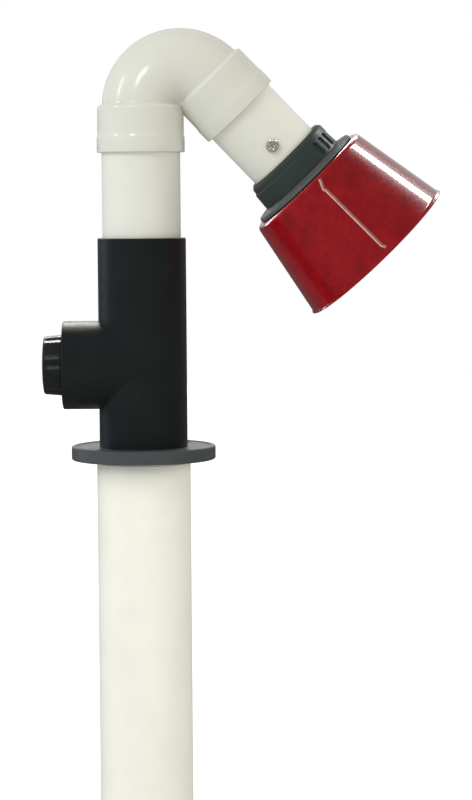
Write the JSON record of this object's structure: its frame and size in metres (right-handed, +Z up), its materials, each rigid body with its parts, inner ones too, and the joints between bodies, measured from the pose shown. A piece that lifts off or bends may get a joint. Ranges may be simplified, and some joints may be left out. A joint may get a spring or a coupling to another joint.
{
  "type": "fume extraction arm",
  "caption": "Bench fume extraction arm: white gooseneck pipe that swivels in a black valve body with a damper knob, and a flared red hood held on by a lock ring.",
  "frame": {"origin": "centre of the bench flange's underside, on the axis of the upright pipes, in the plane of the bench top", "axes": "+Z up along the upright pipes; +X to the side on which the hood hangs, -X to the damper's knob; +Y away from the viewer of the picture"},
  "size_m": [0.382, 0.173, 0.8308],
  "materials": {
    "pipe_white": "satin",
    "duct_white": "satin",
    "valve_black": "satin",
    "knob_black": "satin",
    "flange_grey": "satin",
    "joint_grey": "satin",
    "hood_red": "polished",
    "steel": "satin",
    "seal_rubber": "matte",
    "bush_plastic": "satin"
  },
  "bodies": {
    "base": {"duct_pipe": "duct_white", "bench_flange": "flange_grey", "bench_gasket": "seal_rubber", "valve_body": "valve_black", "duct_seal_ring": "seal_rubber", "riser_seal_rings": "seal_rubber", "riser_thrust_ring": "bush_plastic", "housing_cover": "valve_black", "cover_seal_ring": "seal_rubber", "cover_snap_ring": "steel", "cover_bush": "bush_plastic", "wall_bush": "bush_plastic", "far_bush": "bush_plastic", "shaft_seal_ring": "seal_rubber", "friction_washer": "bush_plastic"},
    "damper": {"damper_shaft": "steel", "damper_blade": "joint_grey", "blade_screws": "steel", "shaft_retaining_ring": "steel", "damper_knob": "knob_black", "knob_screw": "steel", "knob_cap": "knob_black"},
    "arm": {"riser_pipe": "pipe_white", "gooseneck_bend": "pipe_white", "bend_seal_rings": "seal_rubber", "arm_pipe": "pipe_white", "pipe_screws": "steel"},
    "head": {"hood_spigot": "joint_grey", "spigot_seal_ring": "seal_rubber", "joint_seal": "seal_rubber", "hood_plate": "joint_grey", "hood_gasket": "seal_rubber", "hood_shell": "hood_red", "hood_backing_ring": "joint_grey", "hood_screws": "steel"},
    "lock_ring": {"lock_ring": "joint_grey"}
  },
  "joints": [
    {"name": "damper_turn", "type": "hinge", "parent": "base", "child": "damper", "pos_m": [0, 0, 0.0905], "axis": [1, 0, 0], "range_deg": [0, 90]},
    {"name": "arm_swivel", "type": "hinge", "parent": "base", "child": "arm", "pos_m": [0, 0, 0.152], "axis": [0, 0, 1], "continuous": true},
    {"name": "head_swivel", "type": "hinge", "parent": "arm", "child": "head", "pos_m": [0.13117, 0.01148, 0.2942], "axis": [0.692, 0.0605, -0.7193], "continuous": true},
    {"name": "lock_ring_turn", "type": "hinge", "parent": "head", "child": "lock_ring", "pos_m": [0.13117, 0.01148, 0.2942], "axis": [0.692, 0.0605, -0.7193], "range_deg": [0, 45]}
  ]
}
